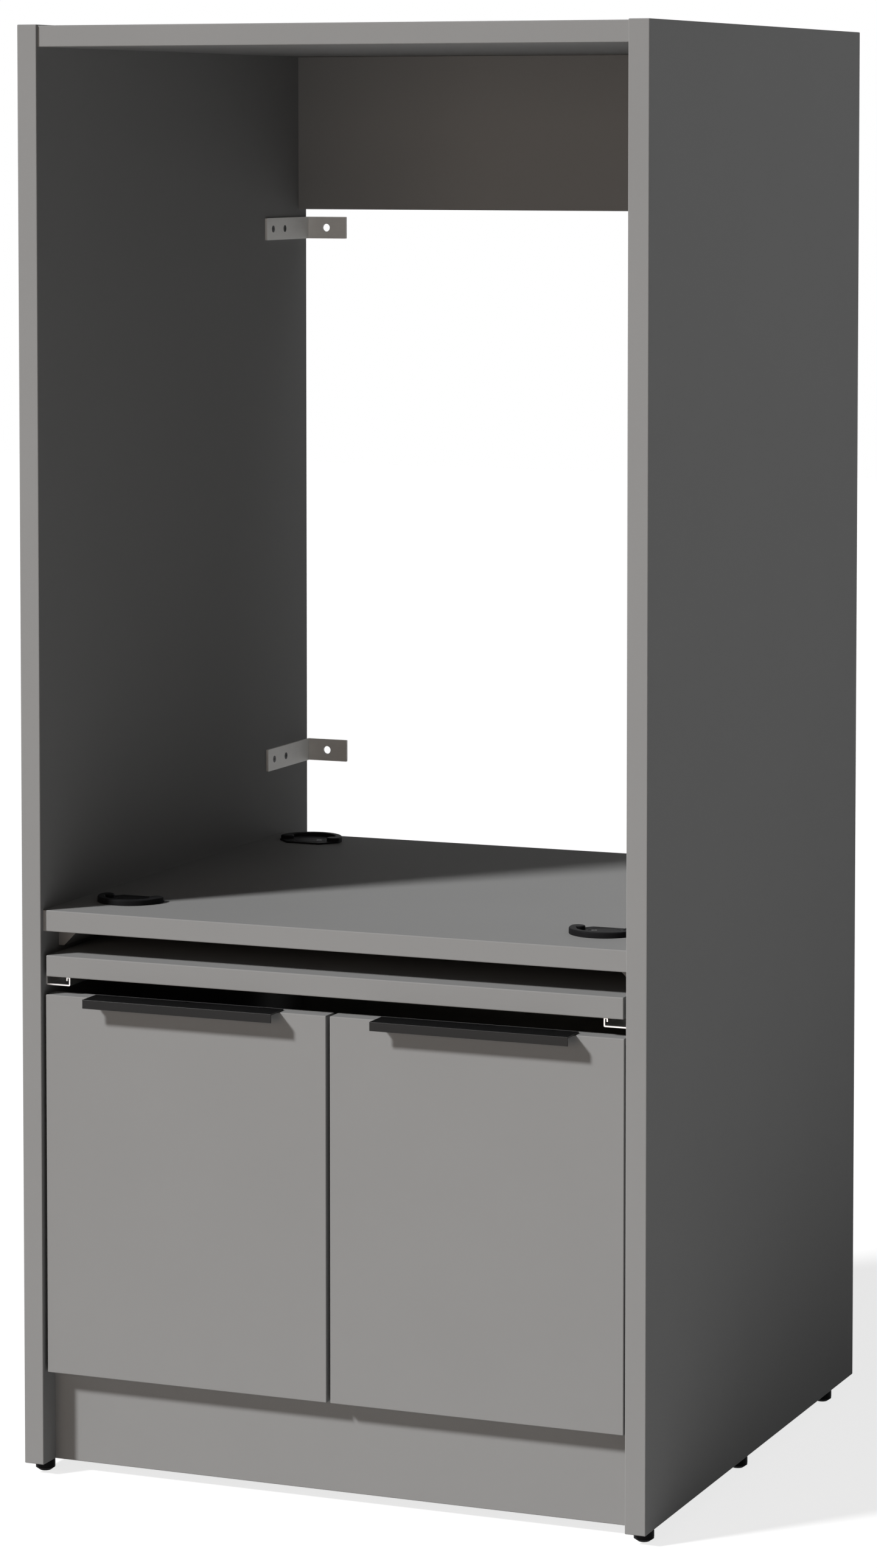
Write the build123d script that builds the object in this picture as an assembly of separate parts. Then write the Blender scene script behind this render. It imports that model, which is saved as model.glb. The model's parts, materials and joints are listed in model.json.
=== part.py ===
from build123d import *
import os
from math import atan2, degrees, hypot

# Washing machine cabinet: a tall open niche for the machine, with a pull-out shelf
# and two doors below it. Millimetres. X to the right, Y to the back, Z up.
# The origin is on the floor, below the middle of the whole cabinet.

# Carcass
CABINET_W = 690.0
SIDE_D = 676.0
SIDE_H = 1498.0
BOARD = 22.0
EDGE_R = 1.0
TOP_SET = 3.0
TOP_DROP = 1.0
RAIL_H = 175.0
SHELF_SET = 5.0
HOSE_GAP = 71.0
SHELF_TOP = 583.2
PLINTH_SET = 28.0
PLINTH_H = 100.0
BACK_T = 16.0
BACK_CLEAR = 2.0
BATTEN_W = 26.0
BATTEN_H = 20.0
BATTEN_FOOT = 6.2
BATTEN_SET = 41.0
BATTEN_SCREW_IN = 70.0

# Pull-out shelf and its runners
PULL_SET = 4.0
PULL_D = 510.0
PULL_DROP = 25.0
PULL_GAP = 4.0
RUNNER_SET = 12.0
RUNNER_L = 500.0
RUNNER_W = 27.7
RUNNER_DROP = 10.1
RUNNER_PLAY = 0.6
SHEET = 1.4
LIP_IN = 1.6
LIP_H = 4.2
GLIDE_T = 1.0
GLIDE_SIDE = 3.6
SLIDE_SHEET = 1.2
SLIDE_OUT = 4.2
SLIDE_IN = 25.6
SLIDE_NECK = 1.9
SLIDE_BACK = 42.0
RAIL_SCREW_IN = 40.0
SLIDE_SCREW_IN = 50.0

# Doors, handles and bumpers
DOOR_SET = 4.4
DOOR_LOW = 97.6
DOOR_H = 397.5
DOOR_GAP = 3.1
DOOR_MEET = 4.1
HANDLE_L = 213.0
HANDLE_OUT = 20.0
HANDLE_IN = 11.8
HANDLE_T = 1.5
HANDLE_LIP = 9.3
HANDLE_R = 0.4
HANDLE_SCREW_IN = 25.5
BUMPER_R = 4.0
BUMPER_FROM_EDGE = 60.0
BUMPER_FROM_MEET = 50.0

# Wall brackets
BRACKET_W = 25.0
BRACKET_T = 2.5
BRACKET_LEG = 114.5
BRACKET_EAR = 50.0
BRACKET_R = 0.8
BRACKET_HOLE_R = 4.5
BRACKET_HOLE_IN = 25.0
BRACKET_UNDER_RAIL = 9.0
BRACKET_OVER_SHELF = 88.3
BRACKET_SCREW_IN = 17.0
BRACKET_PITCH = 32.0

# Cups that hold the machine's feet
CUP_R = 36.0
CUP_CHORD = 22.0
CUP_CHORD_W = 40.0
CUP_CORNER = 4.0
CUP_BASE = 2.0
CUP_RIM_H = 6.0
CUP_RIM_W = 8.0
CUP_END_R = 7.5
CUP_EDGE_R = 1.5
CUP_BASE_EDGE_R = 0.6
CUP_SCREW_IN = 11.0
CUP_IN = 58.3
CUP_FRONT = 90.0
CUP_REAR = 549.0

# Levelling feet
FOOT_H = 12.0
FOOT_R = 10.2
FOOT_TIP_R = 6.0
FOOT_CHAMFER = 3.0
FOOT_FIRST = 26.0
FOOT_PITCH = 286.5
FOOT_ROWS = 3
STEM_R = 4.0
STEM_L = 24.0
STEM_PLAY = 0.08
INSERT_T = 1.5
INSERT_L = 26.0

# Fasteners
FIT = 0.3
SNUG = 0.05
PANEL_SCREW_R = 2.0
PANEL_SCREW_HEAD = 4.0
PANEL_SCREW_L = 20.0
SMALL_SCREW_R = 1.75
SMALL_SCREW_HEAD = 3.0
SMALL_SCREW_L = 14.0
HEAD_T = 1.6
DRIVE_W = 0.9
DOWEL_R = 4.0
DOWEL_L = 30.0
DOWEL_IN_SIDE = 12.0
DOWEL_IN = 35.0

# Concealed hinges: X from the side's inner face, Y behind the back of the door
HINGE_IN = 85.0
PIN_R = 1.25
PIN_PLAY = 0.06
EYE_R = 2.3
ARM_PIVOT_IN = (28.47, 36.77)
ARM_PIVOT_OUT = (45.0, 12.15)
CUP_PIVOT_IN = (10.62, -8.37)
CUP_PIVOT_OUT = (15.39, -9.40)
LINK_BEND = [(20.0, -10.33), (21.57, -9.03)]
LINK_T = 2.0
LINK_HALF = 3.0
OUTER_BEND = (27.11, -8.06)
OUTER_W = 3.0
OUTER_T = 1.5
SLOT_RUN = (-0.85, 1.63)
SLOT_R = 1.6
SLOT_WALL = 1.1
RIB_T = 1.2
EAR_T = 1.5
BOWL_X = 23.6
BOWL_R = 17.5
BOWL_T = 1.0
BOWL_DEEP = 13.0
FLANGE_T = 1.2
FLANGE_R = 4.0
FLANGE_HALF = 31.0
FLANGE_LEFT = 6.0
FLANGE_RIGHT = 16.0
FLANGE_SCREW_X = 9.5
FLANGE_SCREW_Z = 24.0
ARM_R = 5.0
ARM_T = 1.5
ARM_REAR = 92.0
ARM_SPINE_X = 9.0
ARM_CHEEK_X = 4.0
ARM_CRANK_Y = 54.0
PLATE_WING_T = 2.0
PLATE_WING_Y = 64.0
PLATE_WING_HALF = 24.0
PLATE_WING_W = 16.0
PLATE_SCREW_Z = 16.0
PLATE_START = 56.0
CLAMP_Y = 82.0

# Worked out from the sizes above
INNER_X = CABINET_W / 2 - BOARD
HANDLE_REACH = HANDLE_OUT - DOOR_SET
FRONT_Y = (HANDLE_REACH - SIDE_D - BRACKET_T) / 2
BACK_Y = FRONT_Y + SIDE_D
TOP_Z = FOOT_H + SIDE_H - TOP_DROP
RAIL_UNDER = TOP_Z - BOARD - RAIL_H
SHELF_D = SIDE_D - SHELF_SET - HOSE_GAP
SHELF_Z = FOOT_H + SHELF_TOP
SHELF_UNDER = SHELF_Z - BOARD
PULL_Z = SHELF_UNDER - PULL_DROP
PULL_UNDER = PULL_Z - BOARD
RUNNER_Z = PULL_UNDER - RUNNER_DROP
RUNNER_H = RUNNER_DROP - RUNNER_PLAY
SLIDE_Z = RUNNER_Z + SHEET + GLIDE_T + FIT
DOOR_Y = FRONT_Y + DOOR_SET
DOOR_BACK_Y = DOOR_Y + BOARD
DOOR_Z = FOOT_H + DOOR_LOW
DOOR_TOP_Z = DOOR_Z + DOOR_H
PLINTH_Y = FRONT_Y + PLINTH_SET
BOTTOM_Z = FOOT_H + PLINTH_H
BACK_PANEL_Y = BACK_Y - BACK_T
RIB_Z = LINK_HALF + FIT
OUTER_Z = RIB_Z + RIB_T + FIT
EAR_Z = OUTER_Z + OUTER_T + FIT
HINGE_HALF = EAR_Z + EAR_T
BRACKET_HEIGHTS = {"lower": SHELF_Z + BRACKET_OVER_SHELF,
                   "upper": RAIL_UNDER - BRACKET_UNDER_RAIL - BRACKET_W / 2}
HINGE_HEIGHTS = {"lower": DOOR_Z + HINGE_IN, "upper": DOOR_TOP_Z - HINGE_IN}


def block(x, y, z):
    """A block from three pairs of limits."""
    size = Box(x[1] - x[0], y[1] - y[0], z[1] - z[0])
    return Pos(sum(x) / 2, sum(y) / 2, sum(z) / 2) * size


def bar(radius, start, end):
    """A round bar from one point to another."""
    line = Vector(*end) - Vector(*start)
    stand = (Align.CENTER, Align.CENTER, Align.MIN)
    return Plane(origin=start, z_dir=line) * Cylinder(radius, line.length, align=stand)


def sunk(radius, head, start, end):
    """A countersunk shape, head face at the start, that a screw and its hole share."""
    line = Vector(*end) - Vector(*start)
    stand = (Align.CENTER, Align.CENTER, Align.MIN)
    cone = Plane(origin=start, z_dir=line) * Cone(head, radius, head - radius, align=stand)
    return cone + bar(radius, start, end)


def cross_cut(place, head):
    """The cross recess in a screw's head."""
    slot = Box(2 * head * 0.6, DRIVE_W, 2 * DRIVE_W)
    return place * (slot + Rot(Z=90) * slot)


def sunk_screw(radius, head, start, end):
    """A countersunk screw with a cross recess."""
    line = Vector(*end) - Vector(*start)
    return sunk(radius, head, start, end) - cross_cut(Plane(origin=start, z_dir=line), head)


def pan_screw(radius, head, start, end):
    """A screw whose flat round head stands on the start point."""
    line = Vector(*end) - Vector(*start)
    top = Vector(*start) - line.normalized() * HEAD_T
    body = bar(radius, start, end) + bar(head, tuple(top), start)
    return body - cross_cut(Plane(origin=top, z_dir=line), head)


def other_side(shape):
    """The same piece on the right of the cabinet."""
    return mirror(shape, about=Plane.YZ)


def both_sides(shapes):
    """A group of separate pieces on the left and their twins on the right."""
    solids = [solid for shape in shapes for solid in shape.solids()]
    twins = [other_side(solid) for solid in solids]
    return Compound(children=solids + twins)


def front_edges(board):
    """The long edges along the front of a board."""
    return board.edges().filter_by(Axis.X).group_by(Axis.Y)[0]


def cut_all(board, tools):
    """A board with every one of these shapes drilled out of it."""
    for tool in tools:
        board = board - tool
    return board


def three_along(start, length, inset):
    """Two places this far in from the ends of a length, and its middle."""
    return start + inset, start + length / 2, start + length - inset


def dowel_rows():
    """Middles of the dowels on the left side's inner face, as Y and Z."""
    def spread(start, end, count):
        step = (end - start - 2 * DOWEL_IN) / (count - 1)
        return [start + DOWEL_IN + step * i for i in range(count)]
    rows = [(y, TOP_Z - BOARD / 2) for y in spread(FRONT_Y + TOP_SET, BACK_Y - BOARD, 4)]
    shelf_y = FRONT_Y + SHELF_SET
    rows += [(y, SHELF_Z - BOARD / 2) for y in spread(shelf_y, shelf_y + SHELF_D, 4)]
    bottom_end = BACK_PANEL_Y
    rows += [(y, BOTTOM_Z + BOARD / 2) for y in spread(PLINTH_Y, bottom_end, 4)]
    rows += [(BACK_Y - BOARD / 2, z) for z in spread(RAIL_UNDER, TOP_Z - BOARD, 3)]
    rows += [(PLINTH_Y + BOARD / 2, z) for z in spread(FOOT_H, BOTTOM_Z, 2)]
    back_top = SHELF_UNDER - BACK_CLEAR
    rows += [(BACK_Y - BACK_T / 2, z) for z in spread(BOTTOM_Z, back_top, 4)]
    return rows


def left_dowels(play=0.0):
    """Dowels, or with play their holes, between the left side and the boards."""
    start = -INNER_X - DOWEL_IN_SIDE
    bars = []
    for y, z in dowel_rows():
        bars.append(bar(DOWEL_R + play, (start - play, y, z), (start + DOWEL_L + play, y, z)))
    return bars


def batten_length():
    """Length of the battens, which end with the shelf."""
    return SHELF_SET + SHELF_D - BATTEN_SET


def batten_screws(play=0.0):
    """Screws that hold the left batten to the side, or their holes."""
    z = SHELF_UNDER - BATTEN_H / 2
    shapes = []
    for y in three_along(FRONT_Y + BATTEN_SET, batten_length(), BATTEN_SCREW_IN):
        start = (-INNER_X + BATTEN_FOOT, y, z)
        end = (-INNER_X + BATTEN_FOOT - PANEL_SCREW_L, y, z)
        if play:
            hole = sunk(PANEL_SCREW_R + play, PANEL_SCREW_HEAD + play, start, end)
            open_end = (-INNER_X + BATTEN_W, y, z)
            shapes.append(hole + bar(PANEL_SCREW_HEAD + play, start, open_end))
        else:
            shapes.append(sunk_screw(PANEL_SCREW_R, PANEL_SCREW_HEAD, start, end))
    return shapes


def bracket_screws(play=0.0):
    """Screws through the left brackets into the side, or their holes."""
    shapes = []
    first = BACK_Y - BRACKET_LEG + BRACKET_SCREW_IN
    for z in BRACKET_HEIGHTS.values():
        for y in (first, first + BRACKET_PITCH):
            start = (-INNER_X + BRACKET_T, y, z)
            end = (-INNER_X + BRACKET_T - PANEL_SCREW_L, y, z)
            make = sunk if play else sunk_screw
            shapes.append(make(PANEL_SCREW_R + play, PANEL_SCREW_HEAD + play, start, end))
    return shapes


def rail_screws(play=0.0):
    """Screws through the left runner's rail into the side, or their holes."""
    z = RUNNER_Z + SHEET + (RUNNER_H - SHEET) / 2
    shapes = []
    for y in three_along(FRONT_Y + RUNNER_SET, RUNNER_L, RAIL_SCREW_IN):
        start = (-INNER_X + SHEET, y, z)
        end = (-INNER_X + SHEET - SMALL_SCREW_L, y, z)
        if play:
            shapes.append(bar(SMALL_SCREW_R + play, (start[0] + play, y, z), end))
        else:
            shapes.append(pan_screw(SMALL_SCREW_R, SMALL_SCREW_HEAD, start, end))
    return shapes


def slide_screws(play=0.0):
    """Screws up through the left slide into the pull-out shelf, or their holes."""
    x = -INNER_X + slide_middle()
    z = PULL_UNDER - SLIDE_SHEET
    shapes = []
    front, rear = slide_y()
    for y in three_along(front, rear - front, SLIDE_SCREW_IN):
        start = (x, y, z)
        end = (x, y, z + SMALL_SCREW_L)
        if play:
            shapes.append(bar(SMALL_SCREW_R + play, (x, y, z - play), end))
        else:
            shapes.append(pan_screw(SMALL_SCREW_R, SMALL_SCREW_HEAD, start, end))
    return shapes


def plate_screws(play=0.0):
    """Screws through the left hinge plates into the side, or their holes."""
    y = DOOR_BACK_Y + PLATE_WING_Y
    shapes = []
    for height in HINGE_HEIGHTS.values():
        for z in (height - PLATE_SCREW_Z, height + PLATE_SCREW_Z):
            start = (-INNER_X + PLATE_WING_T, y, z)
            end = (-INNER_X + PLATE_WING_T - SMALL_SCREW_L, y, z)
            make = sunk if play else sunk_screw
            shapes.append(make(SMALL_SCREW_R + play, SMALL_SCREW_HEAD + play, start, end))
    return shapes


def clamp_screws(play=0.0):
    """Screws that clamp the left hinge arms on their plates, or their holes."""
    y = DOOR_BACK_Y + CLAMP_Y
    start_x = -INNER_X + ARM_SPINE_X + ARM_T
    shapes = []
    for z in HINGE_HEIGHTS.values():
        start = (start_x, y, z)
        end = (start_x - ARM_SPINE_X + PLATE_WING_T, y, z)
        if play:
            shapes.append(bar(SMALL_SCREW_R + play, (start_x + play, y, z), end))
        else:
            shapes.append(pan_screw(SMALL_SCREW_R, SMALL_SCREW_HEAD, start, end))
    return shapes


def flange_screws(play=0.0):
    """Screws through the hinge cups' flanges into the left door, or their holes."""
    x = -INNER_X + BOWL_X + FLANGE_SCREW_X
    top = DOOR_BACK_Y + FLANGE_T
    shapes = []
    for height in HINGE_HEIGHTS.values():
        for z in (height - FLANGE_SCREW_Z, height + FLANGE_SCREW_Z):
            start = (x, top, z)
            end = (x, top - SMALL_SCREW_L, z)
            make = sunk if play else sunk_screw
            shapes.append(make(SMALL_SCREW_R + play, SMALL_SCREW_HEAD + play, start, end))
    return shapes


def handle_middle():
    """X of the middle of the left door, where its handle is centred."""
    return -(INNER_X - DOOR_GAP + DOOR_MEET / 2) / 2


def handle_screws(play=0.0):
    """Screws down through the left handle into the door's top edge, or their holes."""
    y = DOOR_Y + HANDLE_IN / 2 + SMALL_SCREW_HEAD / 2
    top = DOOR_TOP_Z + HANDLE_T
    shapes = []
    for x in three_along(handle_middle() - HANDLE_L / 2, HANDLE_L, HANDLE_SCREW_IN):
        make = sunk if play else sunk_screw
        shapes.append(make(SMALL_SCREW_R + play, SMALL_SCREW_HEAD + play, (x, y, top),
                           (x, y, top - SMALL_SCREW_L)))
    return shapes


def foot_places():
    """Y of the levelling feet under each side."""
    return [FRONT_Y + FOOT_FIRST + FOOT_PITCH * i for i in range(FOOT_ROWS)]


def foot_x():
    """X of the feet under the left side, in the middle of the board."""
    return -CABINET_W / 2 + BOARD / 2


def left_inserts():
    """Threaded sleeves in the bottom edge of the left side."""
    sleeves = []
    for y in foot_places():
        low = (foot_x(), y, FOOT_H)
        high = (foot_x(), y, FOOT_H + INSERT_L)
        outer = bar(STEM_R + STEM_PLAY + INSERT_T, low, high)
        sleeves.append(outer - bar(STEM_R + STEM_PLAY, low, high))
    return sleeves


def insert_holes():
    """Holes in the left side that the sleeves are pressed into."""
    radius = STEM_R + STEM_PLAY + INSERT_T + SNUG
    return [bar(radius, (foot_x(), y, FOOT_H), (foot_x(), y, FOOT_H + INSERT_L + 1))
            for y in foot_places()]


def levelling_foot(y):
    """A plastic foot on a threaded stem, free to turn in its sleeve."""
    x = foot_x()
    pad = bar(FOOT_R, (x, y, 0), (x, y, FOOT_H - FIT))
    tip = pad.edges().group_by(Axis.Z)[0]
    pad = chamfer(tip, FOOT_CHAMFER, FOOT_R - FOOT_TIP_R)
    return pad + bar(STEM_R, (x, y, FOOT_H / 2), (x, y, FOOT_H + STEM_L))


def left_side_panel():
    """The left side, with the holes for everything fixed to it."""
    board = block((-CABINET_W / 2, -INNER_X), (FRONT_Y, BACK_Y), (FOOT_H, FOOT_H + SIDE_H))
    board = fillet(board.edges(), EDGE_R)
    holes = left_dowels(SNUG) + batten_screws(SNUG) + bracket_screws(SNUG)
    holes += rail_screws(SNUG) + plate_screws(SNUG) + insert_holes()
    return cut_all(board, holes)


def cross_board(y, z, dowels):
    """A board between the sides, with rounded front edges and dowel holes."""
    board = block((-INNER_X, INNER_X), y, z)
    board = fillet(front_edges(board), EDGE_R)
    holes = [hole for hole, place in zip(dowels, dowel_rows())
             if y[0] < place[0] < y[1] and z[0] < place[1] < z[1]]
    return cut_all(board, holes + [other_side(hole) for hole in holes])


def cross_boards():
    """Top, back rail, machine shelf, bottom, plinth and lower back panel."""
    dowels = left_dowels(SNUG)
    shelf_y = FRONT_Y + SHELF_SET
    boards = {}
    boards["top_panel"] = cross_board(
        (FRONT_Y + TOP_SET, BACK_Y), (TOP_Z - BOARD, TOP_Z), dowels)
    boards["back_rail"] = cross_board(
        (BACK_Y - BOARD, BACK_Y), (RAIL_UNDER, TOP_Z - BOARD), dowels)
    shelf = cross_board((shelf_y, shelf_y + SHELF_D), (SHELF_UNDER, SHELF_Z), dowels)
    boards["machine_shelf"] = cut_all(shelf, cup_screws(SNUG))
    boards["bottom_panel"] = cross_board(
        (PLINTH_Y, BACK_PANEL_Y), (BOTTOM_Z, BOTTOM_Z + BOARD), dowels)
    boards["plinth_board"] = cross_board(
        (PLINTH_Y, PLINTH_Y + BOARD), (FOOT_H, BOTTOM_Z), dowels)
    boards["lower_back_panel"] = cross_board(
        (BACK_PANEL_Y, BACK_Y), (BOTTOM_Z, SHELF_UNDER - BACK_CLEAR), dowels)
    return boards


def left_shelf_batten():
    """A bevelled strip under the shelf, screwed to the side."""
    x = -INNER_X
    z = SHELF_UNDER
    outline = [(x, z), (x + BATTEN_W, z), (x + BATTEN_FOOT, z - BATTEN_H), (x, z - BATTEN_H)]
    start = FRONT_Y + BATTEN_SET
    points = [Vector(px, start, pz) for px, pz in outline]
    face = make_face(Polyline(*points, close=True))
    strip = extrude(face, batten_length(), dir=(0, 1, 0))
    return cut_all(strip, batten_screws(SNUG))


def cup_place(front):
    """Middle of a left cup on the shelf, as X and Y."""
    offset = CUP_FRONT if front else CUP_REAR
    return -INNER_X + CUP_IN, FRONT_Y + SHELF_SET + offset


def cup_screws(play=0.0):
    """One screw through each cup's base into the shelf, or the four holes."""
    shapes = []
    for front in (True, False):
        x, y = cup_place(front)
        x += CUP_SCREW_IN
        start = (x, y, SHELF_Z + CUP_BASE)
        end = (x, y, SHELF_Z + CUP_BASE - SMALL_SCREW_L)
        make = sunk if play else sunk_screw
        one = make(SMALL_SCREW_R + play, SMALL_SCREW_HEAD + play, start, end)
        shapes += [one, other_side(one)]
    return shapes


def machine_foot_cup(front):
    """A plastic cup: a base cut off straight on one side, and a rim round the other."""
    corner = Polyline((-CUP_R, -CUP_R), (CUP_R, -CUP_R), (CUP_R, CUP_CORNER),
                      (CUP_CHORD_W / 2, CUP_CHORD), (-CUP_CHORD_W / 2, CUP_CHORD),
                      (-CUP_R, CUP_CORNER), close=True)
    base = Circle(CUP_R) & make_face(corner)
    ring = Circle(CUP_R) - Circle(CUP_R - CUP_RIM_W)
    rim = ring - Pos(0, CUP_R) * Rectangle(2 * CUP_R, 2 * CUP_R)
    for side in (-1, 1):
        rim += disc_at((side * (CUP_R - CUP_END_R), 0), CUP_END_R)
    wall = extrude(rim, CUP_RIM_H)
    wall = fillet(wall.edges().group_by(Axis.Z)[-1], CUP_EDGE_R)
    floor = extrude(base, CUP_BASE)
    floor = fillet(floor.edges().group_by(Axis.Z)[-1], CUP_BASE_EDGE_R)
    cup = floor + wall
    if not front:
        cup = Rot(Z=180) * cup
    x, y = cup_place(front)
    return cut_all(Pos(x, y, SHELF_Z) * cup, cup_screws(SNUG))


def wall_bracket(middle):
    """A steel angle on the left side whose ear is screwed to the wall behind."""
    z = (middle - BRACKET_W / 2, middle + BRACKET_W / 2)
    leg = block((-INNER_X, -INNER_X + BRACKET_T), (BACK_Y - BRACKET_LEG, BACK_Y + BRACKET_T), z)
    leg = fillet(leg.edges().filter_by(Axis.X).group_by(Axis.Y)[0], BRACKET_R)
    ear = block((-INNER_X, -INNER_X + BRACKET_EAR), (BACK_Y, BACK_Y + BRACKET_T), z)
    ear = fillet(ear.edges().filter_by(Axis.Y).group_by(Axis.X)[-1], BRACKET_R)
    x = -INNER_X + BRACKET_HOLE_IN
    hole = bar(BRACKET_HOLE_R, (x, BACK_Y - 1, middle), (x, BACK_Y + BRACKET_T + 1, middle))
    return cut_all(leg + ear - hole, bracket_screws(SNUG))


def pull_out_shelf():
    """The shelf that slides out below the machine."""
    x = (-INNER_X + PULL_GAP, INNER_X - PULL_GAP)
    y = (FRONT_Y + PULL_SET, FRONT_Y + PULL_SET + PULL_D)
    board = fillet(block(x, y, (PULL_UNDER, PULL_Z)).edges(), EDGE_R)
    holes = slide_screws(SNUG)
    return cut_all(board, holes + [other_side(hole) for hole in holes])


def runner_y():
    """Front and back of the runners when the shelf is in."""
    return FRONT_Y + RUNNER_SET, FRONT_Y + RUNNER_SET + RUNNER_L


def slide_y():
    """Front and back of the slides and their strips, which sit back in the rails."""
    front, rear = runner_y()
    return front + SLIDE_BACK, rear


def runner_rail():
    """The left runner's fixed rail: a channel with its inner edge turned over."""
    x = -INNER_X
    right = x + RUNNER_W
    lip = right - SHEET - LIP_IN
    top = RUNNER_Z + RUNNER_H
    y = runner_y()
    rail = block((x, right), y, (RUNNER_Z, RUNNER_Z + SHEET))
    rail += block((x, x + SHEET), y, (RUNNER_Z, top))
    rail += block((right - SHEET, right), y, (RUNNER_Z, top))
    rail += block((lip - SHEET, right), y, (top - SHEET, top))
    rail += block((lip - SHEET, lip), y, (top - LIP_H, top))
    corner = rail.edges().filter_by(Axis.Y).group_by(Axis.Z)[0]
    rail = fillet(corner, SHEET)
    return cut_all(rail, rail_screws(SNUG))


def runner_glide():
    """The plastic strip in the left rail that the slide runs on."""
    x = (-INNER_X + GLIDE_SIDE, -INNER_X + RUNNER_W - SHEET - SNUG)
    return block(x, slide_y(), (RUNNER_Z + SHEET, RUNNER_Z + SHEET + GLIDE_T))


def slide_middle():
    """Middle of the slide's channel, from the side's inner face."""
    return (SLIDE_OUT + SLIDE_NECK + slide_right()) / 2


def slide_right():
    """Right face of the slide's channel, inside the rail's turned lip."""
    return RUNNER_W - 2 * SHEET - LIP_IN - 2 * FIT - SLIDE_SHEET


def runner_slide():
    """The left runner's moving rail, a hat section screwed under the pull-out shelf."""
    x = -INNER_X
    y = slide_y()
    left = x + SLIDE_OUT + SLIDE_NECK
    right = x + slide_right()
    rail = block((left, right), y, (PULL_UNDER - SLIDE_SHEET, PULL_UNDER))
    rail += block((left, left + SLIDE_SHEET), y, (SLIDE_Z, PULL_UNDER))
    rail += block((right - SLIDE_SHEET, right), y, (SLIDE_Z, PULL_UNDER))
    rail += block((x + SLIDE_OUT, left + SLIDE_SHEET), y, (SLIDE_Z, SLIDE_Z + SLIDE_SHEET))
    rail += block((right - SLIDE_SHEET, x + SLIDE_IN), y, (SLIDE_Z, SLIDE_Z + SLIDE_SHEET))
    return cut_all(rail, slide_screws(SNUG))


def left_door():
    """The left door, bored for its hinge cups."""
    x = (-INNER_X + DOOR_GAP, -DOOR_MEET / 2)
    board = block(x, (DOOR_Y, DOOR_BACK_Y), (DOOR_Z, DOOR_TOP_Z))
    board = fillet(board.edges(), EDGE_R)
    bowl_x = -INNER_X + BOWL_X
    holes = flange_screws(SNUG) + handle_screws(SNUG)
    for z in HINGE_HEIGHTS.values():
        holes.append(bar(BOWL_R + SNUG, (bowl_x, DOOR_BACK_Y - BOWL_DEEP - SNUG, z),
                         (bowl_x, DOOR_BACK_Y + 1, z)))
    return cut_all(board, holes)


def left_handle():
    """A metal edge pull: a plate on the door's top edge with a lip in front."""
    x = (handle_middle() - HANDLE_L / 2, handle_middle() + HANDLE_L / 2)
    front = DOOR_Y - HANDLE_OUT
    top = DOOR_TOP_Z + HANDLE_T
    plate = block(x, (front, DOOR_Y + HANDLE_IN), (DOOR_TOP_Z, top))
    lip = block(x, (front, front + HANDLE_T), (top - HANDLE_LIP, top))
    pull = plate + lip
    pull = fillet(pull.edges().filter_by(Axis.X).group_by(Axis.Y)[0], HANDLE_R)
    return cut_all(pull, handle_screws(SNUG))


def door_bumpers():
    """Soft discs on the bottom panel's front edge that the doors close on."""
    front = DOOR_BACK_Y + FIT
    z = BOTTOM_Z + BOARD / 2
    places = (-INNER_X + BUMPER_FROM_EDGE, -BUMPER_FROM_MEET)
    discs = [bar(BUMPER_R, (x, front, z), (x, PLINTH_Y, z)) for x in places]
    return both_sides(discs)


def on_hinge(point):
    """A point of the left hinges, as X and Y of the cabinet."""
    return -INNER_X + point[0], DOOR_BACK_Y + point[1]


def strap(points, width):
    """A flat strap with round ends along these points."""
    shape = Sketch()
    for start, end in zip(points, points[1:]):
        across = end[0] - start[0]
        along = end[1] - start[1]
        middle = Pos((start[0] + end[0]) / 2, (start[1] + end[1]) / 2)
        turn = Rot(Z=degrees(atan2(along, across)))
        shape += middle * turn * SlotCenterToCenter(hypot(across, along), width)
    return shape


def disc_at(point, radius):
    """A flat disc round a point."""
    return Pos(point[0], point[1]) * Circle(radius)


def twin_plates(sketch, low, thick):
    """Two plates of one outline, as far above the hinge's middle as below."""
    plate = Pos(0, 0, low) * extrude(sketch, thick)
    return plate + mirror(plate, about=Plane.XY)


def stub_pins(point, low, high):
    """A short hinge pin between two heights, and its twin below the hinge's middle."""
    upper = bar(PIN_R, (point[0], point[1], low), (point[0], point[1], high))
    return upper + mirror(upper, about=Plane.XY)


def hinge_cup():
    """The bowl pressed in the door, with the eyes and pins of the two links."""
    x, back = on_hinge((BOWL_X, 0))
    floor = back - BOWL_DEEP + BOWL_T
    bowl = bar(BOWL_R, (x, back - BOWL_DEEP, 0), (x, back, 0))
    flange = block((x - FLANGE_LEFT, x + FLANGE_RIGHT), (back, back + FLANGE_T),
                   (-FLANGE_HALF, FLANGE_HALF))
    flange = fillet(flange.edges().filter_by(Axis.Y), FLANGE_R)
    cup = bowl + flange - bar(BOWL_R - BOWL_T, (x, floor, 0), (x, back + FLANGE_T + 1, 0))
    inner = on_hinge(CUP_PIVOT_IN)
    outer = on_hinge(CUP_PIVOT_OUT)
    for pivot, low, thick in ((inner, RIB_Z, RIB_T), (outer, EAR_Z, EAR_T)):
        foot = Pos(pivot[0], (pivot[1] + floor - BOWL_T / 2) / 2)
        stand = foot * Rectangle(2 * EYE_R, pivot[1] - floor + BOWL_T / 2)
        cup += twin_plates(stand + disc_at(pivot, EYE_R), low, thick)
    pin_end = RIB_Z + RIB_T / 2
    cup += bar(PIN_R, (inner[0], inner[1], -pin_end), (inner[0], inner[1], pin_end))
    cup += stub_pins(outer, OUTER_Z - FIT / 2, EAR_Z + EAR_T / 2)
    return cup


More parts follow.
